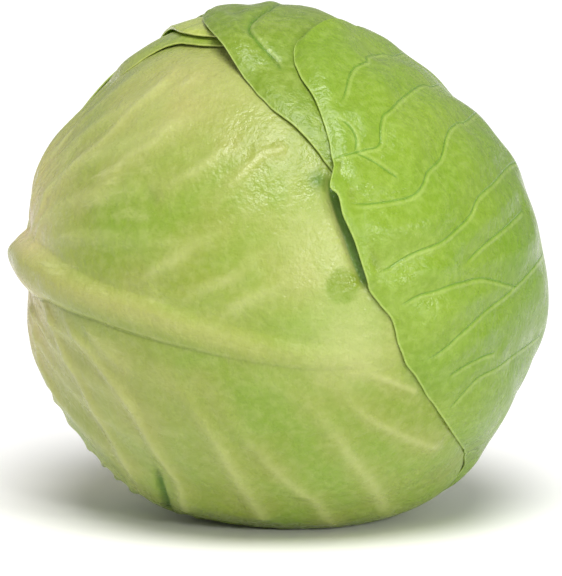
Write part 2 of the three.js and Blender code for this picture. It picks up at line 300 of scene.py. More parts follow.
class Margin:
    """Where a leaf lies: its base, its middle and its margin as a reach for each bearing.

    The leaf is laid out flat about its middle: the angle from the middle is kept as a
    distance, and a bearing of 0 points away from the base.
    """

    def __init__(self, base, middle, points):
        self.base, self.middle = base, middle
        self.ahead = unit(-base + middle * (base @ middle))
        self.across = np.cross(middle, self.ahead)
        self.rib_side = unit(np.cross(base, middle))
        self.rib_ahead = np.cross(self.rib_side, base)
        bearing, reach = self.flat(np.array(points))
        order = np.argsort(bearing)
        self.bearings, self.reaches = bearing[order], reach[order]
        even = self.even_bearings(RIM_POINTS)
        self.rim = self.direction(even, self.reach(even))

    def flat(self, directions):
        """Bearing and reach in degrees of each direction."""
        bearing = np.degrees(np.arctan2(directions @ self.across, directions @ self.ahead))
        return bearing, angle_to(self.middle, directions)

    def direction(self, bearing, reach):
        """The direction at each bearing and reach."""
        b, r = np.radians(bearing), np.radians(reach)
        side = np.cos(b)[..., None] * self.ahead + np.sin(b)[..., None] * self.across
        return np.cos(r)[..., None] * self.middle + np.sin(r)[..., None] * side

    def reach(self, bearing):
        """A closed cubic curve through the margin points, its slopes taken from both neighbours."""
        n = len(self.bearings)
        i = np.searchsorted(self.bearings, bearing, side="right") % n
        b = [self.bearings[(i + k) % n] for k in (-2, -1, 0, 1)]
        r = [self.reaches[(i + k) % n] for k in (-2, -1, 0, 1)]
        span = (b[2] - b[1]) % 360
        t = ((bearing - b[1]) % 360) / span
        slope_in = (r[2] - r[0]) / ((b[2] - b[0]) % 360) * span
        slope_out = (r[3] - r[1]) / ((b[3] - b[1]) % 360) * span
        return (
            (2 * t**3 - 3 * t**2 + 1) * r[1]
            + (t**3 - 2 * t**2 + t) * slope_in
            + (3 * t**2 - 2 * t**3) * r[2]
            + (t**3 - t**2) * slope_out
        )

    def even_bearings(self, count):
        """Bearings whose margin points lie at even steps along the margin."""
        bearing = np.linspace(-180, 180, 721)
        line = self.direction(bearing, self.reach(bearing))
        steps = np.linalg.norm(np.diff(line, axis=0), axis=1)
        lengths = np.concatenate([[0], np.cumsum(steps)])
        return np.interp(np.arange(count) * lengths[-1] / count, lengths, bearing)

    def beyond(self, directions):
        """Degrees outside the margin, measured to the nearest of its rim points; 0 on the leaf."""
        bearing, reach = self.flat(directions)
        away = np.zeros(len(directions))
        outside = np.flatnonzero(reach >= self.reach(bearing))
        for part in np.array_split(outside, len(outside) // 20000 + 1):
            nearest = (directions[part] @ self.rim.T).max(axis=1, initial=-1)
            away[part] = np.degrees(np.arccos(np.clip(nearest, -1, 1)))
        return away

    def cover(self, directions):
        """1 on the leaf and just past its margin, then down to 0, so the next leaf drapes off."""
        return 1 - smooth((self.beyond(directions) - SHOULDER) / DRAPE)


# The wrapper leaves from the inside out. Their margins run round the leaf from its base.
MARGINS = {
    "leaf_under": Margin(
        at(12, -80),
        at(78, -104),
        [at(11.5, -96), at(15, -130), at(32, -158), at(60, -162), at(88, -158), at(112, -150)]
        + [at(130, -130), at(132, -104), at(116, -82), at(92, -70), at(65, -64), at(40, -58)]
        + [at(18, -45), at(11.5, -66)],
    ),
    "leaf_front": Margin(
        at(12, -4),
        seen(-16, -26),
        [at(11.5, -22), at(14, -50), at(25, -72), at(36, -82), at(50, -85), at(64, -84)]
        + [at(74, -86), at(84, -97), at(94, -110), at(106, -116), at(118, -112), at(130, -97)]
        + [seen(67, -53), seen(62, -40), seen(54, -26), seen(47, -12), seen(43, 2)]
        + [seen(39, 18), seen(34, 35), seen(27, 52), seen(18, 68), seen(6, 81), at(84, 108)]
        + [at(66, 112), at(48, 111), at(32, 104), at(20, 82), at(14, 45), at(11.5, 12)],
    ),
    "leaf_fold": Margin(
        at(12, 100),
        at(70, 138),
        [at(11.5, 92), at(15, 92), at(22, 96), at(32, 99), at(40, 97), seen(-54, 67)]
        + [seen(-45, 72), seen(-36, 75), seen(-25, 74), seen(-14, 75)]
        + [seen(-3, 81), at(94, 118), at(100, 146), at(90, 172), at(70, 184), at(45, 184)]
        + [at(24, 168), at(14, 136), at(11.5, 114)],
    ),
    "leaf_shoulder": Margin(
        at(12, 222),
        at(72, 176),
        [at(11.5, 206), at(15, 180), at(24, 152), at(38, 128), at(52, 114), seen(-37.5, 80)]
        + [seen(-33, 77.5), seen(-23, 75.5), seen(-10, 77), seen(6, 82), at(112, 114)]
        + [at(130, 148), at(130, 196), at(110, 226), at(82, 240), at(52, 247), at(28, 248)]
        + [at(15, 246), at(11.5, 236)],
    ),
    "leaf_upper": Margin(
        at(12, 180),
        at(92, 152),
        [at(11.5, 165), at(15, 148), at(28, 130), at(46, 118), at(62, 110), seen(-24.5, 85.5)]
        + [seen(-25, 80.5), seen(-22, 75), seen(-11, 61.5), seen(-3, 52.5), seen(5, 46)]
        + [seen(13, 37), seen(20, 28), seen(30, 22), seen(44, 22), seen(60, 24), seen(76, 22)]
        + [at(160, 60), at(164, 200), at(142, 222), at(110, 220), at(78, 216), at(48, 215)]
        + [at(28, 212), at(16, 204), at(11.5, 194)],
    ),
    "leaf_crown": Margin(
        at(12, 150),
        at(116, 140),
        [at(11.5, 136), at(15, 128), at(34, 122), at(60, 117), at(84, 122), at(99, 110)]
        + [seen(27, 82), seen(14, 78.5), seen(6, 73), seen(4.8, 67.7), seen(6.5, 62)]
        + [seen(11.6, 53.4), seen(15.6, 41.5), seen(17.7, 30.3), seen(20.4, 17.7), seen(25.5, 3.1)]
        + [seen(29.6, -8.2), seen(36.7, -17.3), seen(40.1, -28.9), seen(45.6, -37.7)]
        + [seen(50.3, -44.9), seen(56.4, -54.1), seen(60.5, -65), at(128, -97), at(138, -134)]
        + [at(138, 188), at(116, 176), at(84, 172), at(52, 170), at(28, 168), at(16, 162)]
        + [at(11.5, 152)],
    ),
}
LEAVES = list(MARGINS)


def pile_height(directions, names):
    """Height of a pile of the named leaves: a layer for each, times how fully it covers."""
    none = np.zeros(len(directions))
    return sum((LAYER * MARGINS[name].cover(directions) for name in names), none)


# Blanched inner cabbage leaf: dense, crisp and almost white-green, with faint veins about
# 12 mm apart. Its smooth moist skin shines softly.
heart_material, tree = new_material("blanched cabbage leaf")
place = add_node(tree, "ShaderNodeTexCoord").outputs["Object"]
clouds = add_node(tree, "ShaderNodeTexNoise", {"Scale": 45, "Detail": 4, "Vector": place})
cells = add_node(
    tree, "ShaderNodeTexVoronoi", {"feature": "DISTANCE_TO_EDGE", "Scale": 85, "Vector": place}
)
pale = add_node(
    tree,
    "ShaderNodeMix",
    {"data_type": "RGBA", 0: clouds.outputs[0], 6: linear("#dbe6ac"), 7: linear("#c4d685")},
)
low = add_node(
    tree,
    "ShaderNodeBump",
    {"Strength": 0.2, "Distance": 0.001, "Height": cells.outputs["Distance"]},
)
blanched = add_node(
    tree,
    "ShaderNodeBsdfPrincipled",
    {
        "Roughness": 0.45,
        "IOR": 1.42,
        "Subsurface Weight": 0.2,
        "Subsurface Scale": 0.003,
        "Base Color": pale.outputs[2],
        "Normal": low.outputs[0],
    },
)
add_node(tree, "ShaderNodeOutputMaterial", {"Surface": blanched.outputs[0]})

from_stem = np.linspace(0, 180, HEART_RINGS + 2)[1:-1, None]
turn = np.linspace(0, 360, HEART_SIDES, endpoint=False)[None, :]
grid = around(*np.broadcast_arrays(from_stem, turn)).reshape(-1, 3)
grid = np.concatenate([[STEM], grid, [-STEM]])
radius = heart_form(grid) - STEP * 3
for place in (at(70, 40), at(80, 160), at(75, 280)):
    radius += STEP * (1 - smooth((angle_to(place, grid) - INNER_REACH) / 4))
radius = rest_on_floor(grid, radius, pile_height(grid, LEAVES))
funnel = smooth((angle_to(STEM, grid) - FUNNEL_WIDTH) / FUNNEL_WIDTH)
radius = FUNNEL_BOTTOM + (radius - FUNNEL_BOTTOM) * funnel
points = HEAD_MIDDLE + grid * radius[:, None]
heart = add_piece("heart_leaves", points, HEART_RINGS, HEART_SIDES, heart_material, {})
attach(heart, "root")
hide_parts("heart")

# The leaf underneath
# A darker wrapper leaf on the floor side, mostly hidden.
RIM_RINGS = 5
INNER_RINGS = 14
SETTLE = 0.7
THINNING = 0.35
RIM_THICKNESS = 0.3
MARGIN_BAND = 11
SPOT_REACH = 16
SPOT_FADE = 12
RIPPLE_START = 0.8
# Millimetres in a degree over the head, and the scale of the streaks across and along the fan
DEGREE = np.radians(HEART_RADIUS + 2)
FAN_SCALE = 9
FAR_SCALE = 20
MARKS = ("inward", "base", "rib", "pale", "green", "painted_shade", "streaky", "fan", "far")
MARKS += ("vein_main", "vein_side", "strength_main", "strength_side")


def spots(directions, places):
    """Soft round spots, each a strength times a bell of the distance over its width in mm."""
    return sum(
        strength * bell(angle_to(place, directions) * DEGREE / width)
        for place, strength, width in places
    )


def fade_ends(share, first, last):
    """Rises over the first share of a line and falls over its last share."""
    return smooth(share / first) * smooth((1 - share) / last)


def rib_place(margin, directions):
    """Degrees along the midrib from the base, and degrees off it."""
    aside = np.degrees(np.arcsin(np.clip(directions @ margin.rib_side, -1, 1)))
    along = np.degrees(np.arctan2(directions @ margin.rib_ahead, directions @ margin.base))
    return along, aside


def rib_rise(along, aside, rise, fade, width):
    """The midrib: a rounded ridge that fades and narrows with the distance from the base."""
    half = width * (0.45 + 0.55 * np.exp(-np.maximum(along, 0) / 45))
    profile = np.maximum(1 - (aside / half) ** 2, 0) ** 1.5
    return rise * np.exp(-np.abs(along) / fade) * profile


def vein_rise(along, aside, rise, spacing, lean):
    """Side veins: low rounded ridges that leave the midrib on both sides and lean to the tip."""
    off = np.abs(aside)
    ridge = 0.5 + 0.5 * np.cos(2 * np.pi * (along - lean * off) / spacing)
    return rise * ridge * smooth(off / 14) * smooth(along / 20)


def beside(directions, places, reach=14.0):
    """Millimetres to a line over the head, positive on its left, and the share of its length.

    The line is a cubic through places as the eye sees them, cut into short chords, and the
    distance is to the nearest chord. Beyond the reach the distance is left at 99.
    """
    knots = np.array([seen(x, z) for x, z in places])
    slope = np.gradient(knots, axis=0)
    t = np.linspace(0, 1, 4, endpoint=False)[None, :, None]
    a, b, ma, mb = knots[:-1, None], knots[1:, None], slope[:-1, None], slope[1:, None]
    line = (2 * t**3 - 3 * t**2 + 1) * a + (t**3 - 2 * t**2 + t) * ma
    line = line + (3 * t**2 - 2 * t**3) * b + (t**3 - t**2) * mb
    line = unit(np.concatenate([line.reshape(-1, 3), knots[-1:]])) * VIEW_RADIUS
    middle = line.mean(axis=0)
    spread = np.linalg.norm(line - middle, axis=1).max() + reach
    distance, share = np.full(len(directions), 99.0), np.zeros(len(directions))
    near = np.flatnonzero(np.linalg.norm(directions * VIEW_RADIUS - middle, axis=1) < spread)
    start, chord = line[:-1], np.diff(line, axis=0)
    length = np.linalg.norm(chord, axis=1)
    done = np.concatenate([[0], np.cumsum(length)])
    left = np.cross(unit(start), chord)
    for part in np.array_split(near, len(near) // 8000 + 1):
        away = directions[part][:, None] * VIEW_RADIUS - start
        step = np.clip((away * chord).sum(axis=2) / length**2, 0, 1)
        gap = np.linalg.norm(away - step[..., None] * chord, axis=2)
        best = gap.argmin(axis=1)
        row = np.arange(len(part))
        side = np.sign((away[row, best] * left[best]).sum(axis=1))
        distance[part] = gap[row, best] * np.where(side == 0, 1, side)
        share[part] = (done[best] + step[row, best] * length[best]) / done[-1]
    return distance, share


def ridges(directions, lines):
    """Rounded ridges: each is a rise, its width at both ends, its fade at both ends and its places.

    The profile is a bell of the distance over the width. Returns the height, the nearness to
    the strongest ridge, and a halo twice as wide.
    """
    height, nearness, halo = np.zeros((3, len(directions)))
    for rise, width, fade, places in lines:
        distance, share = beside(directions, places)
        profile = bell(distance / (width[0] + (width[1] - width[0]) * share))
        faded = profile * fade_ends(share, *fade)
        height += rise * faded
        nearness = np.maximum(nearness, faded)
        halo = np.maximum(halo, profile**0.25 * fade_ends(share, 0.1, 0.1))
    return height, nearness, halo


def sunken_veins(directions, lines):
    """The signed distance to the nearest of the lines, and its strength, faded at its ends."""
    nearest, strength = np.full(len(directions), 99.0), np.zeros(len(directions))
    for places in lines:
        distance, share = beside(directions, places)
        closer = np.abs(distance) < np.abs(nearest)
        nearest = np.where(closer, distance, nearest)
        faded = fade_ends(share, 0.01, 0.08) * (np.abs(distance) < 3)
        strength = np.where(closer, faded, strength)
    return nearest, strength


def leaf_sheet(margin, rings, spokes, frill, ears):
    """Places over a leaf's outer face, round its rim and back to the middle of its inner face.

    Each ring is a share of the reach to the margin. A frill of sines in degrees makes the
    margin uneven, and an ear is a soft spot where it reaches out. Returns each place's
    direction, its share of the reach, 1 on the outer and 0 on the inner face, its bearing in
    radians, and its distance in from the margin in millimetres.
    """
    bearing = margin.even_bearings(spokes)[None, :]
    step = np.linspace(0, 2 * np.pi, spokes, endpoint=False)[None, :]
    uneven = np.sin(61 * step + 2.2 * np.sin(7 * step))
    uneven = uneven + 0.6 * np.sin(97 * step + 3 * np.sin(5 * step))
    edge = margin.reach(bearing)
    rim = margin.direction(bearing, edge)[0]
    edge = edge + frill * uneven * (0.6 + 0.6 * np.sin(11 * step + np.sin(3 * step)))
    edge = edge + spots(rim, ears) / DEGREE
    outer = (np.arange(1, rings + 1) / rings) ** 0.8
    roll = np.linspace(0, np.pi, RIM_RINGS + 2)[1:-1]
    inner = np.linspace(1, 0, INNER_RINGS + 1)[:-1]
    share = np.concatenate([outer, np.ones(RIM_RINGS), inner])[:, None]
    side = np.concatenate([np.ones(rings), 0.5 + 0.5 * np.cos(roll), np.zeros(INNER_RINGS)])
    past = np.concatenate([np.zeros(rings), np.sin(roll), np.zeros(INNER_RINGS)])[:, None]
    reach = edge * share + past * RIM_THICKNESS / DEGREE
    grid = margin.direction(*np.broadcast_arrays(bearing, reach)).reshape(-1, 3)

    def closed(values, first, last):
        """The values on the rings, with one more at each end for the closing points."""
        return np.concatenate([[first], np.broadcast_to(values, reach.shape).ravel(), [last]])

    return (
        np.concatenate([[margin.middle], grid, [margin.middle]]),
        closed(share, 0, 0),
        closed(side[:, None], 1, 0),
        closed(np.radians(bearing), 0, 0),
        closed((1 - share) * edge * DEGREE, 99, 99),
    )


def leaf_piece(name, rings, spokes, rib, veins, wave, material, detail=None, frill=0.1, ears=()):
    """One leaf as a closed shell: an outer face, a rounded rim and an inner face.

    The inner face lies on the pile of the leaves below, and the outer face stands the blade's
    thickness above it. Near the margin the blade is thinner and settles onto the leaf below.
    A detail function may change the leaf's values before they are added up.
    """
    margin = MARGINS[name]
    below = LEAVES[: LEAVES.index(name)]
    above = LEAVES[LEAVES.index(name) + 1 :]
    grid, share, side, bearing, inward = leaf_sheet(margin, rings, spokes, frill, ears)
    # Where another leaf or the table lies on this one, it stays smooth
    free = smooth((angle_to(DOWN, grid) - SPOT_REACH) / SPOT_FADE)
    near_free = free.copy()
    for other in above:
        beyond = MARGINS[other].beyond(grid)
        free = free * smooth((beyond - SHOULDER) / DRAPE)
        near_free = near_free * smooth(beyond / 2.5)
    along, aside = rib_place(margin, grid)
    from_base = angle_to(margin.base, grid)
    fan = np.arctan2(grid @ margin.rib_side, grid @ margin.rib_ahead)
    ripple = 0.5 + 0.5 * np.sin(wave["count"] * bearing)
    leaf = {
        "directions": grid,
        "along": along,
        "aside": aside,
        "from_base": from_base,
        "fan": fan,
        "inward": inward,
        "lift": wave["rise"] * ripple * smooth((share - RIPPLE_START) / (1 - RIPPLE_START)),
        "veins": vein_rise(along, aside, **veins),
        "rib": rib_rise(along, aside, **rib),
        "detail": np.zeros(len(grid)),
        "press": np.zeros(len(grid)),
        "marks": {
            "inward": inward,
            "base": 1 - smooth(from_base / 62),
            "rib": bell(aside / (rib["width"] * 0.7)) * np.exp(-np.abs(along) / 60),
            "streaky": 0.4 * (1 - smooth((from_base - 40) / 60)),
            "fan": FAN_SCALE * fan,
            "far": from_base / FAR_SCALE,
        },
    }
    if detail:
        detail(leaf)
    settle = SETTLE * (1 - smooth(inward / 7)) * (1 - np.clip(leaf["lift"], 0, 1))
    thin = THINNING * (1 - smooth(inward / 3))
    swelling = leaf["veins"] * smooth(inward / MARGIN_BAND)
    lift = free * (leaf["lift"] + swelling) + near_free * leaf["detail"] - leaf["press"] - settle
    thickness = BLADE + free * leaf["rib"] - thin
    pile = GAP + pile_height(grid, below)
    depth = pile_height(grid, LEAVES) - pile
    nominal = heart_form(grid) + pile + lift + side * thickness
    radius = rest_on_floor(grid, nominal, depth - side * BLADE)
    points = HEAD_MIDDLE + grid * radius[:, None]
    rows = rings + RIM_RINGS + INNER_RINGS
    piece = add_piece(name + "_blade", points, rows, spokes, material, leaf["marks"])
    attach(piece, "root")
    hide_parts(name)
    return piece


def leaf_material(name, blade, fresh, base, rib, rim, vein="#5f8a26", vein_width=0.45, net=0.05):
    """Waxy cabbage leaf: cream at the base turns to green, pale along the ribs and the rim.

    The wax gives a soft shine that the uneven skin breaks up, and light goes a few
    millimetres into the blade. The marks on the mesh say where each colour goes. Base, rib,
    pale, green, painted shade and streaky are shares, inward is millimetres from the margin,
    fan and far are places on a fan about the base, and the lines of veins and of painted
    shade are each a signed distance in millimetres and a strength. On the front leaf pale
    also carries a painted highlight.
    """
    material, tree = new_material(name)
    place = add_node(tree, "ShaderNodeTexCoord").outputs["Object"]
    marks = {}
    for mark in MARKS:
        marks[mark] = add_node(tree, "ShaderNodeAttribute", {"attribute_name": mark}).outputs["Fac"]
    # Clouds of greener blade 25 mm across, waves of 8 mm, mottling of 3 mm and skin of 1.4 mm
    noise = {}
    for size, detail in ((25, 4), (8, 3), (3, 3), (1.4, 2)):
        settings = {"Scale": 1000 / size, "Detail": detail, "Vector": place}
        noise[size] = add_node(tree, "ShaderNodeTexNoise", settings)
    # Fine streaks that run out from the base, where the young leaf was pleated
    fan = add_node(tree, "ShaderNodeCombineXYZ", {"X": marks["fan"], "Y": marks["far"]})
    streaks = add_node(
        tree,
        "ShaderNodeTexNoise",
        {"Scale": 1, "Detail": 5, "Roughness": 0.6, "Vector": fan.outputs[0]},
    )
    # The finest veins: a net of cells about 8 mm across, drawn out of true by the 8 mm waves
    sway = {0: noise[8].outputs["Color"], 1: (0.006, 0.006, 0.006), 2: place}
    swayed = add_node(tree, "ShaderNodeVectorMath", {"operation": "MULTIPLY_ADD", **sway})
    cells = add_node(
        tree,
        "ShaderNodeTexVoronoi",
        {"feature": "DISTANCE_TO_EDGE", "Scale": 125, "Vector": swayed.outputs[0]},
    )
    shares = {}
    for share, value, low, high, least, most in (
        ("clouds", noise[25].outputs[0], 0.38, 0.66, 0, 0.6),
        ("mottle", noise[3].outputs[0], 0.35, 0.75, 0, 0.2),
        ("streaks", streaks.outputs[0], 0.52, 0.74, 0, 1),
        ("net", cells.outputs["Distance"], 0.06, 0, 0, net),
        ("rim", marks["inward"], 0.6, 0.1, 0, 0.4),
        ("gloss", noise[8].outputs[0], 0.3, 0.7, 0.2, 0.36),
    ):
        settings = {0: value, 1: low, 2: high, 3: least, 4: most}
        settings["interpolation_type"] = "SMOOTHSTEP"
        shares[share] = add_node(tree, "ShaderNodeMapRange", settings).outputs[0]
    streaked = add_node(
        tree, "ShaderNodeMath", {"operation": "MULTIPLY", 0: shares["streaks"], 1: marks["streaky"]}
    )
    green = add_node(
        tree, "ShaderNodeMath", {"operation": "ADD", 0: shares["clouds"], 1: marks["green"]}
    )
    layers = [
        (green.outputs[0], fresh),
        (marks["base"], base),
        (marks["rib"], rib),
        (marks["pale"], rim),
        (streaked.outputs[0], rim),
        (shares["mottle"], rim),
        (shares["net"], rim),
        (shares["rim"], rim),
        # Painted shade: a deep green laid where shade falls, in cracks, dents and folds and over
        # the crown leaf's right side
        (marks["painted_shade"], "#47701a"),
    ]
    # Each line is sunk and drawn in a deep colour, and its shoulder 1.1 mm to its left is raised
    # and drawn pale. The deep colour is painted shade, together with the veins' own deeper green
    # on the crown leaf, and the pale shoulder is a painted highlight.
    height = 0.0
    for kind in ("main", "side"):
        for offset, width, colour, most, rise in (
            (0.0, vein_width, vein, 0.65, -1.2),
            (1.1, 0.9, rim, 0.25, 1.1),
        ):
            settings = {"operation": "SUBTRACT", 0: marks["vein_" + kind], 1: offset}
            shifted = add_node(tree, "ShaderNodeMath", settings)
            settings = {"operation": "ABSOLUTE", 0: shifted.outputs[0]}
            away = add_node(tree, "ShaderNodeMath", settings)
            settings = {0: away.outputs[0], 1: width, 2: 0.05, 4: most}
            settings["interpolation_type"] = "SMOOTHSTEP"
            line = add_node(tree, "ShaderNodeMapRange", settings)
            settings = {0: line.outputs[0], 1: marks["strength_" + kind], "operation": "MULTIPLY"}
            faded = add_node(tree, "ShaderNodeMath", settings)
            layers.append((faded.outputs[0], colour))
            height = add_node(
                tree,
                "ShaderNodeMath",
                {"operation": "MULTIPLY_ADD", 0: faded.outputs[0], 1: rise, 2: height},
            ).outputs[0]
    skin = linear(blade)
    for share, colour in layers:
        blend = {"data_type": "RGBA", 0: share, 6: skin, 7: linear(colour)}
        skin = add_node(tree, "ShaderNodeMix", blend).outputs[2]
    sunk = add_node(tree, "ShaderNodeBump", {"Strength": 0.6, "Distance": 0.0005, "Height": height})
    relief = noise[1.4].outputs[0]
    for value, rise in (
        (noise[25].outputs[0], 4.0),
        (noise[8].outputs[0], 2.2),
        (streaked.outputs[0], 1.0),
        (shares["net"], 1.2),
    ):
        relief = add_node(
            tree, "ShaderNodeMath", {"operation": "MULTIPLY_ADD", 0: value, 1: rise, 2: relief}
        ).outputs[0]
    bump = add_node(
        tree,
        "ShaderNodeBump",
        {"Strength": 0.75, "Distance": 0.0004, "Height": relief, "Normal": sunk.outputs[0]},
    )
    shader = add_node(
        tree,
        "ShaderNodeBsdfPrincipled",
        {
            "Roughness": shares["gloss"],
            "IOR": 1.38,
            "Specular IOR Level": 0.45,
            "Subsurface Weight": 0.25,
            "Subsurface Scale": 0.003,
            "Subsurface Radius": (0.8, 1.0, 0.35),
            "Base Color": skin,
            "Normal": bump.outputs[0],
        },
    )
    add_node(tree, "ShaderNodeOutputMaterial", {"Surface": shader.outputs[0]})
    return material


under = leaf_piece(
    "leaf_under",
    rings=70,
    spokes=330,
    rib={"rise": 3, "fade": 30, "width": 5.5},
    veins={"rise": 0.6, "spacing": 18, "lean": 0.7},
    wave={"rise": 0.6, "count": 11},
    material=leaf_material(
        "shaded cabbage leaf",
        blade="#728e39",
        fresh="#64872b",
        base="#a8a370",
        rib="#98a05a",
        rim="#a6b06c",
    ),
)

# The front leaf
# The big outer leaf that faces the eye. Its midrib starts in a thick cream knuckle at the
# stem, runs down to the right and fades by the far margin. Pleats fan out below it.
RIB_ALONG = [0, 13, 26, 45, 59, 71, 83, 96, 105, 117]
RIB_SWAY = [0.8, 2.9, 4.0, 4.4, 4.2, 2.2, 0.1, -2.1, -2.7, -2.0]
RIB_UPPER = [7.6, 6.4, 5.2, 3.6, 3.6, 3.8, 3.8, 3.6, 3.2, 3.2]
RIB_LOWER = [8.4, 7.2, 6.0, 5.4, 5.8, 4.6, 3.6, 2.8, 2.1, 2.0]
RIB_RISE = 9.5
RIB_FADE = 24
RIB_TAIL = 1.1
# Pleats in a full turn about the knuckle, and how high they and the ridges stand
PLEATS = 27
PLEAT_RISE = 0.6
RIDGE_RISE = 1.2
# Rise in mm, width at both ends, fade at both ends, and places right of and above the middle
FRONT_RIDGES = [
    (0.6, (1.4, 2.0), (0.1, 0.3), [(-85, -11), (-83, -18), (-80, -32), (-77, -38), (-68, -53)]),
    (0.9, (1.8, 3.0), (0.1, 0.3), [(-83, -6), (-79, -13), (-74, -26), (-67, -39), (-60, -52),
     (-55, -60), (-49, -68), (-43, -76)]),
    (0.9, (2.2, 2.6), (0.15, 0.05), [(-75, -13), (-66, -26), (-57, -37), (-49, -48), (-41, -62),
     (-37, -68), (-33, -74), (-30, -81)]),
    (0.5, (2.0, 2.8), (0.3, 0.6), [(-68, -17), (-62, -24), (-55, -31), (-49, -36)]),
    (0.9, (2.8, 4.2), (0.5, 0.05), [(-44, -29), (-38, -37), (-31, -44), (-22, -57), (-18, -64),
     (-14, -71), (-10, -77), (-4, -84)]),
    (0.6, (2.8, 3.6), (0.6, 0.15), [(-34, -31), (-25, -40), (-20, -47), (-12, -56), (-4, -65),
     (7, -75), (12, -78), (19, -85)]),
    (0.6, (3.2, 4.2), (0.5, 0.2), [(-16, -32), (-8, -36), (2, -41), (9, -46), (18, -55), (22, -61),
     (31, -73), (36, -82)]),
    (0.5, (2.4, 2.4), (0.5, 0.1), [(7, -36), (17, -39), (24, -46), (31, -51), (41, -56),
     (54, -60)]),
    (0.4, (2.0, 2.0), (0.5, 0.1), [(20, -34), (31, -36), (39, -39), (47, -42)]),
    (0.7, (3.0, 4.6), (0.3, 0.6), [(-55, -8), (-46, -4), (-41, -1), (-35, 2), (-30, 6), (-24, 9),
     (-18, 13), (-10, 17), (0, 21)]),
    (0.4, (2.4, 3.4), (0.4, 0.5), [(-37, -15), (-27, -8), (-16, -4), (-8, 2), (0, 7)]),
    (0.6, (3.2, 4.6), (0.4, 0.6), [(-29, -18), (-20, -16), (-14, -13), (-6, -9), (2, -6),
     (14, -1)]),
    (0.4, (2.4, 1.6), (0.5, 0.1), [(-27, 17), (-20, 23), (-16, 27), (-12, 31), (-6, 37), (-2, 38),
     (4, 40)]),
    (0.5, (3.0, 2.2), (0.5, 0.3), [(-44, 23), (-36, 27), (-24, 34), (-20, 38), (-15, 40),
     (-11, 40)]),
    (0.6, (2.6, 2.8), (0.5, 0.4), [(-71, 18), (-64, 24), (-58, 29), (-51, 36), (-42, 41), (-36, 48),
     (-32, 52), (-25, 57)]),
    (0.6, (2.2, 2.2), (0.3, 0.2), [(-79, 18), (-73, 29), (-68, 35), (-58, 43), (-51, 51), (-43, 58),
     (-39, 62), (-31, 70)]),
    (0.3, (1.6, 1.6), (0.4, 0.4), [(-37, 58), (-32, 61), (-25, 65)]),
    (0.7, (1.2, 1.6), (0.1, 0.5), [(-88, 8), (-86, 15), (-83, 23), (-81, 29), (-78, 36),
     (-74, 43)]),
    (0.7, (1.2, 1.6), (0.1, 0.6), [(-85, 8), (-81, 18), (-79, 23), (-76, 29), (-71, 38)]),
    (0.5, (1.1, 1.6), (0.1, 0.6), [(-83, 8), (-79, 17), (-75, 26)]),
]
# The slit, the dent and the line under the crown leaf's edge, each pressed in and painted with
# shade
SLIT = [(-42, -66), (-40, -72), (-38, -76), (-36, -81)]
SLIT_WIDTH = 1.4
SLIT_SHADE_WIDTH = 1.5
DENT = [(-44, 28), (-43, 24), (-41, 19)]
DENT_WIDTH = 2.6
UNDER_CROWN = [(17, 30), (17.5, 24), (19.5, 17.5), (22, 10.5), (24.5, 3), (27.5, -4), (29, -8)]
# The round patch, and soft spots of colour: places, strengths and widths in millimetres
PATCH = seen(21, -6.5)
PATCH_RADIUS = 4.5
# Pale spots that paint a broad highlight right of the middle
PAINTED_HIGHLIGHTS = [(seen(17, 8), 0.5, 20), (seen(24, -26), 0.5, 15)]
TANNED = [
    (seen(-42, 60), 0.3, 26 * DEGREE),
    (seen(-60, -45), 0.2, 24 * DEGREE),
    (seen(-10, 62), 0.12, 16 * DEGREE),
]
GREENED = [
    (seen(-37, 20), 0.5, 17),
    (seen(-56, 14), 0.5, 9),
    (seen(-10, -45), 0.5, 15),
    (seen(30, -62), 0.5, 12),
]
LOBE_SHADE = [(seen(12.5, 28.5), 0.7, 2.8)]
# Where the lower edge is crimped and scalloped: places, number of waves and height in mm
EDGES = [
    ([(-80, -38), (-73, -49), (-64, -60), (-53, -70), (-42, -78)], 7, 0.9),
    ([(-36, -81), (-24, -84.5), (-10, -86.5), (8, -87)], 5, 1.1),
]


def front_midrib(along, off, below):
    """A round ridge with a steep lower side, high at the knuckle and with a long low tail.

    Each side falls as one less a power of the share of its width, and the powers change
    with the distance from the knuckle.
    """
    upper = np.clip(off / np.interp(along, RIB_ALONG, RIB_UPPER), 0, 1)
    lower = np.clip(-off / below, 0, 1)
    grown = smooth(along / 32)
    profile = (1 - upper**2) ** (2.4 - 0.9 * grown) * (1 - lower ** (1.7 + 1.7 * grown)) ** 1.2
    tail = RIB_TAIL * smooth(along / 30) * (1 - smooth((along - 70) / 60))
    return (RIB_RISE * np.exp(-np.abs(along) / RIB_FADE) + tail) * profile


def front_pleats(fan, far, off):
    """Pleats that fan out from the knuckle and fade half way over the leaf.

    They are a power of a cosine of the angle about the knuckle, swayed by slow sines.
    """
    phase = PLEATS * fan + 1.3 * np.sin(3.1 * fan + 0.5) + 0.7 * np.sin(far / 9 + 2 * fan)
    spread = smooth((far - 6) / 14) * (1 - smooth((far - 36) / 40))
    return (0.5 + 0.5 * np.cos(phase)) ** 2.4 * spread * smooth((np.abs(off) - 5) / 7)


def front_crimps(directions):
    """Small waves of the lower edge: a sine along each edge line times a bell across it."""
    crimp = np.zeros(len(directions))
    for places, waves, rise in EDGES:
        away, share = beside(directions, places)
        wave = np.sin(2 * np.pi * waves * share + 1.5 * np.sin(9 * share))
        crimp += rise * fade_ends(share, 0.12, 0.12) * bell(away / 5) * wave
    return crimp


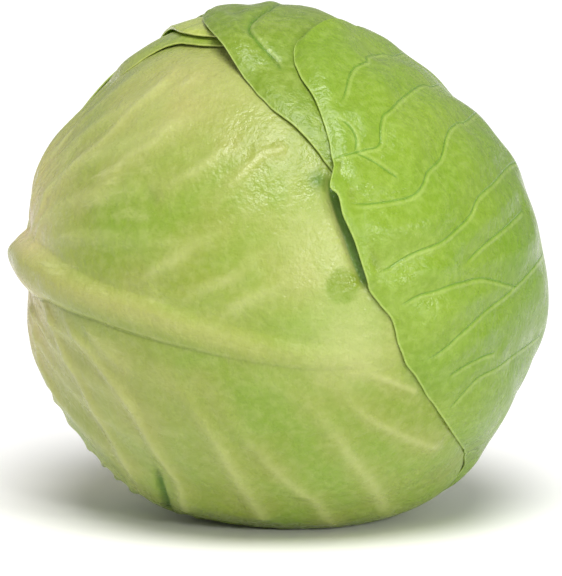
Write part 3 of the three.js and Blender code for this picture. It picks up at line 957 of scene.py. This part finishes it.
def front_detail(leaf):
    """The midrib, ridges, pleats and crimps, the slit and dent pressed in, and the colours.

    Each pressed line is a depth times a bell across it, faded at its ends. Painted shade
    deepens the slit, the dent, the crack under the crown leaf's edge and the spot under its
    lobe. A painted shadow runs as a sunken line along the lower side of the midrib, with a
    painted highlight on its lit shoulder above, and pale spots paint a broad highlight right
    of the middle.
    """
    directions, along, far = leaf["directions"], leaf["along"], leaf["from_base"]
    off = leaf["aside"] - np.interp(along, RIB_ALONG, RIB_SWAY)
    below = np.interp(along, RIB_ALONG, RIB_LOWER)
    height, nearness, halo = ridges(directions, FRONT_RIDGES)
    pleats = front_pleats(leaf["fan"], far, off)
    leaf["rib"] = front_midrib(along, off, below)
    leaf["veins"] = leaf["veins"] * smooth((directions[:, 1] + 0.1) / 0.35)
    leaf["detail"] = RIDGE_RISE * height + PLEAT_RISE * pleats + front_crimps(directions)
    slit, share = beside(directions, SLIT)
    slit_strength = fade_ends(share, 0.3, 0.15)
    dent, share = beside(directions, DENT)
    dip = bell(dent / DENT_WIDTH) * fade_ends(share, 0.4, 0.4)
    crack, share = beside(directions, UNDER_CROWN)
    crack_strength = fade_ends(share, 0.08, 0.1)
    leaf["press"] = 1.6 * slit_strength * bell(slit / SLIT_WIDTH) + 0.7 * dip
    leaf["press"] += crack_strength * bell((crack + 0.8) / 1.8)
    patch = 1 - smooth((angle_to(PATCH, directions) * DEGREE - PATCH_RADIUS) / 2.5)
    # Painted highlight: pale spots right of the middle, kept off the round patch
    painted_highlight = spots(directions, PAINTED_HIGHLIGHTS) * (1 - patch)
    greened = spots(directions, GREENED)
    cream = 1 - smooth(far / 44) + spots(directions, TANNED)
    # Painted shade in the crack under the crown leaf's lifted edge, under its lobe, in the dent and
    # in the slit, and a little of the round patch's own deeper green
    gap_shade = smooth((crack + 1.6) / 1.1) * (np.abs(crack) < 12) * crack_strength
    shade = 0.1 * patch + 0.15 * dip + 0.85 * gap_shade + spots(directions, LOBE_SHADE)
    shade += 0.9 * slit_strength * bell(slit / SLIT_SHADE_WIDTH)
    # A painted shadow along the lower side of the midrib, drawn as a sunken line with a painted
    # highlight on its lit shoulder above
    rib_shadow = smooth((along - 8) / 16) * (1 - smooth((along - 50) / 55)) * (np.abs(off) < 14)
    leaf["marks"].update(
        {
            "base": np.clip(cream * (1 - 0.9 * greened), 0, 1),
            "rib": bell(off / 3.6) * (1 - 0.75 * smooth((along - 40) / 80)),
            "pale": np.clip(0.36 * nearness**3 + 0.12 * halo + 0.3 * pleats + painted_highlight, 0, 1),
            "green": np.clip(0.45 - 0.45 * halo - 0.2 * patch + greened, 0, 1),
            "painted_shade": np.clip(shade, 0, 1),
            "streaky": 0.8 * (1 - smooth((far - 34) / 46)),
            "vein_main": (off + below) * DEGREE,
            "strength_main": 0.65 * rib_shadow,
        }
    )


front = leaf_piece(
    "leaf_front",
    rings=126,
    spokes=600,
    rib={"rise": RIB_RISE, "fade": RIB_FADE, "width": 9.5},
    veins={"rise": 0.7, "spacing": 19, "lean": 0.8},
    wave={"rise": 0.7, "count": 13},
    material=leaf_material(
        "waxy cabbage leaf",
        blade="#828f2f",
        fresh="#7b952e",
        base="#dcc996",
        rib="#a2a45c",
        rim="#b8bc7c",
        # The colour of the painted shadow line under the midrib
        vein="#6c7a36",
        vein_width=0.9,
        net=0,
    ),
    detail=front_detail,
)

# The folded leaf
# A smaller wrapper at the upper left whose front edge ends in a lip, its corner pressed
# close on the front leaf. It grows from the upper side of the stump, and the leaves that lie
# on it hold it down.
LIP_CORNER = [(seen(-62, 64), 1, 24)]


def fold_detail(leaf):
    """The corner of the lip lies close on the front leaf: a soft spot that fades inwards."""
    corner = spots(leaf["directions"], LIP_CORNER)
    leaf["press"] = 1.3 * corner * (1 - smooth(leaf["inward"] / 14))
    leaf["lift"] = leaf["lift"] * (1 - corner)


fold = leaf_piece(
    "leaf_fold",
    rings=70,
    spokes=330,
    rib={"rise": 3.5, "fade": 30, "width": 5.5},
    veins={"rise": 0.6, "spacing": 18, "lean": 0.7},
    wave={"rise": 0.8, "count": 12},
    material=leaf_material(
        "folded cabbage leaf",
        blade="#8a9d3c",
        fresh="#819a32",
        base="#b0ac70",
        rib="#a8b060",
        rim="#c2ca74",
    ),
    detail=fold_detail,
)

# The shoulder leaf
# It lies over the folded leaf on the upper left and shows a short folded edge. The rest of it
# is wrapped round the back of the head.
shoulder = leaf_piece(
    "leaf_shoulder",
    rings=70,
    spokes=330,
    rib={"rise": 5, "fade": 34, "width": 6.5},
    veins={"rise": 0.7, "spacing": 18, "lean": 0.7},
    wave={"rise": 0.8, "count": 13},
    material=leaf_material(
        "shoulder cabbage leaf",
        blade="#aab554",
        fresh="#9ab046",
        base="#bcb87a",
        rib="#b6ba6a",
        rim="#d4da8a",
    ),
)

# The upper leaf
# The bright leaf over the top, between the front leaf and the crown leaf. It has one long
# fold where it was pushed together under the crown leaf.
UPPER_FOLD = [(2, 87.5), (-3, 83.5), (-6, 81.5), (-9.5, 77), (-9.5, 74), (-6, 70.5)]
UPPER_FOLD += [(-1.5, 67.5), (1, 63.5)]


def upper_detail(leaf):
    """The long fold: a bell pressed in along a line, and a low bell raised on each side of it."""
    away, strength = sunken_veins(leaf["directions"], [UPPER_FOLD])
    fold_line = bell(away) * strength
    leaf["lift"] = leaf["lift"] + 0.5 * bell((np.abs(away) - 4) / 3) * (np.abs(away) < 14)
    leaf["press"] = 0.9 * fold_line
    # Painted shade darkens the fold, which is also drawn as a sunken line of painted shade with a
    # painted highlight on its lit shoulder
    leaf["marks"].update({"painted_shade": 0.4 * fold_line, "vein_main": away, "strength_main": strength})


upper = leaf_piece(
    "leaf_upper",
    rings=80,
    spokes=380,
    rib={"rise": 5, "fade": 34, "width": 6.5},
    veins={"rise": 0.7, "spacing": 18, "lean": 0.7},
    wave={"rise": 0.8, "count": 14},
    material=leaf_material(
        "bright cabbage leaf",
        blade="#758c2a",
        fresh="#6b8727",
        base="#b0ac76",
        rib="#a8ae66",
        rim="#b8c878",
    ),
    detail=upper_detail,
)

# The crown leaf
# The outermost leaf, wrapped over the right of the head, with a net of thin sunken veins
# and the blade a little puffed between them. Its front margin stands off the leaf below.
CROWN_VEINS = [
    [(44, 75.6), (39.5, 74), (36, 74), (29, 70), (28.5, 67.5), (24, 64.5), (22, 60.5)]
    + [(20.5, 54.5), (18.5, 52)],
    [(57.5, 65.8), (53.5, 63.5), (49, 63), (41, 56.5), (35.5, 50.5), (33, 48.5), (32, 44)]
    + [(31.5, 38.5), (27, 37), (24, 36), (17.5, 34.5), (15, 34)],
    [(68.5, 54.3), (64.5, 50.5), (61, 49.5), (57, 46), (55, 41.5), (54, 38), (52.5, 35)]
    + [(47.5, 30.5), (46, 27), (44, 24), (41, 22), (34.5, 20.5), (26, 19.5), (20, 20)],
    [(80, 35.5), (78.5, 35), (75, 31.5), (71.5, 28), (65.5, 23), (62, 16.5), (55, 10)]
    + [(50, 7), (44.5, 5), (39.5, 2.5), (35, -0.5), (30, -3)],
    [(87.3, 6.5), (84, 1), (78.5, -6.5), (69, -14), (60, -20.5), (52.5, -27), (46, -31)],
    [(84.5, -22), (80, -27), (72, -32), (64.5, -35.5), (58, -42), (54, -47)],
]
CROWN_BRANCHES = [
    [(24.5, 35.5), (29, 33.5), (33.5, 30.5), (37.5, 28)],
    [(81, 19), (75, 13.5), (68, 7.5), (62, 1.5)],
    [(78.5, -6.5), (75, -5.5), (69, -4), (65.5, -4), (61, -5), (56, -6), (50, -8)]
    + [(44.5, -9.5), (38.5, -13)],
    [(70.5, -28), (66, -29), (60, -32), (54.5, -35.5)],
    [(20.5, 46), (22.5, 44), (24, 41), (24, 37.5), (23.5, 36)],
]
PUFF_RISE = 1.4
PUFF_WIDTH = 6
# The lobe of the margin, its lift and its reach, and the lower corner: places, sizes and widths
LOBE_LIFT = [(seen(17, 29), 2.0, 3.5)]
LOBE_REACH = [(seen(18.2, 27.8), 4.2, 3.4), (seen(20.2, 18), 1.4, 6.0)]
LOWER_CORNER = [(seen(61, -66), 1, 18)]


def crown_detail(leaf):
    """Sunken veins, the blade puffed between them, a lifted margin and lobe, a pressed corner.

    The puff is one less a bell of the distance to the nearest of the veins. Painted shade
    deepens the green towards the crown end, on the right.
    """
    directions, inward = leaf["directions"], leaf["inward"]
    main, strength = sunken_veins(directions, CROWN_VEINS)
    side, side_strength = sunken_veins(directions, CROWN_BRANCHES)
    nearest = np.minimum(np.abs(main), np.abs(side))
    traced = smooth((-directions[:, 1] + 0.05) / 0.3)
    puff = PUFF_RISE * (1 - bell(nearest / PUFF_WIDTH))
    leaf["veins"] = leaf["veins"] * (1 - traced) + traced * puff
    crack, share = beside(directions, UNDER_CROWN)
    gap = fade_ends(share, 0.1, 0.12) * (np.abs(crack) < 12)
    corner = spots(directions, LOWER_CORNER)
    raised = (1.6 * gap + spots(directions, LOBE_LIFT)) * bell(inward / 3.5)
    leaf["lift"] = 0.5 * leaf["lift"] * (1 - corner) + raised
    leaf["press"] = 1.2 * corner * (1 - smooth(inward / 12))
    # Painted shade deepens the right side, and the veins are drawn as sunken lines, their own
    # deeper green with painted shade, each with a painted highlight on its lit shoulder
    leaf["marks"].update(
        {
            "painted_shade": 0.34 * smooth((directions[:, 0] - 0.55) / 0.4),
            "vein_main": main,
            "strength_main": strength,
            "vein_side": side,
            "strength_side": side_strength,
        }
    )


crown = leaf_piece(
    "leaf_crown",
    rings=126,
    spokes=600,
    rib={"rise": 6, "fade": 36, "width": 7},
    veins={"rise": 0.8, "spacing": 17, "lean": 0.5},
    wave={"rise": 0.6, "count": 17},
    material=leaf_material(
        "crown cabbage leaf",
        blade="#7b952b",
        fresh="#6f8e24",
        base="#b0ac76",
        rib="#a8ae66",
        rim="#aec26c",
    ),
    detail=crown_detail,
    ears=LOBE_REACH,
)

# The floor, the lights and the camera
# A matt white table that runs out of sight, lit by a pale room, a broad light overhead and
# two small soft panels at the front right. A long lens looks at the head from a little above.
FLOOR_SIZE = 12.0
# Millimetres in a picture pixel, the picture's height and the head's place in it in pixels
PIXEL = 0.339
PICTURE_HEIGHT = 576
HEAD_LEFT = 1
HEAD_ABOVE = 21
EYE_DISTANCE = 2400.0
floor_material, tree = new_material("matt white table")
table = add_node(
    tree, "ShaderNodeBsdfPrincipled", {"Base Color": linear("#faf9f8"), "Roughness": 0.9}
)
add_node(tree, "ShaderNodeOutputMaterial", {"Surface": table.outputs[0]})
half = FLOOR_SIZE / 2
floor_mesh = bpy.data.meshes.new("floor")
floor_mesh.from_pydata(
    [(-half, -half, 0), (half, -half, 0), (half, half, 0), (-half, half, 0)], [], [(0, 1, 2, 3)]
)
floor_mesh.materials.append(floor_material)
floor = bpy.data.objects.new("floor", floor_mesh)
bpy.context.scene.collection.objects.link(floor)

world = bpy.data.worlds.new("studio")
world.use_nodes = True
world.node_tree.nodes["Background"].inputs["Color"].default_value = (1, 1, 1, 1)
world.node_tree.nodes["Background"].inputs["Strength"].default_value = 0.38
bpy.context.scene.world = world
bpy.context.scene.view_settings.view_transform = "Standard"

# Square panels that face the head: place and width in metres, and power
for name, place, size, power in (
    ("key", (0.61, -1.41, 0.54), 0.17, 6.0),
    ("window", (1.25, -0.97, 0.31), 0.12, 4.4),
):
    lamp = bpy.data.lights.new(name, "AREA")
    lamp.size, lamp.energy = size, power
    panel = bpy.data.objects.new(name, lamp)
    panel.location = place
    aim = Vector(HEAD_MIDDLE * MM) - panel.location
    panel.rotation_euler = aim.to_track_quat("-Z", "Y").to_euler()
    bpy.context.scene.collection.objects.link(panel)
sun = bpy.data.lights.new("sky", "SUN")
sun.angle, sun.energy = np.radians(34), 3.1
sky = bpy.data.objects.new("sky", sun)
sky.rotation_euler = (np.radians(27), 0, np.radians(3))
bpy.context.scene.collection.objects.link(sky)

camera_data = bpy.data.cameras.new("camera")
camera = bpy.data.objects.new("camera", camera_data)
camera_data.lens = camera_data.sensor_width * EYE_DISTANCE / (PICTURE_HEIGHT * PIXEL)
camera_data.clip_end = 20
up = np.array([0, np.sin(VIEW_TILT), np.cos(VIEW_TILT)])
back = np.array([0, -np.cos(VIEW_TILT), np.sin(VIEW_TILT)])
target = HEAD_MIDDLE + PIXEL * (HEAD_LEFT * np.array([1, 0, 0]) - HEAD_ABOVE * up)
camera.location = (target + back * EYE_DISTANCE) * MM
camera.rotation_euler = (np.pi / 2 - VIEW_TILT, 0, 0)
bpy.context.scene.collection.objects.link(camera)
bpy.context.scene.camera = camera
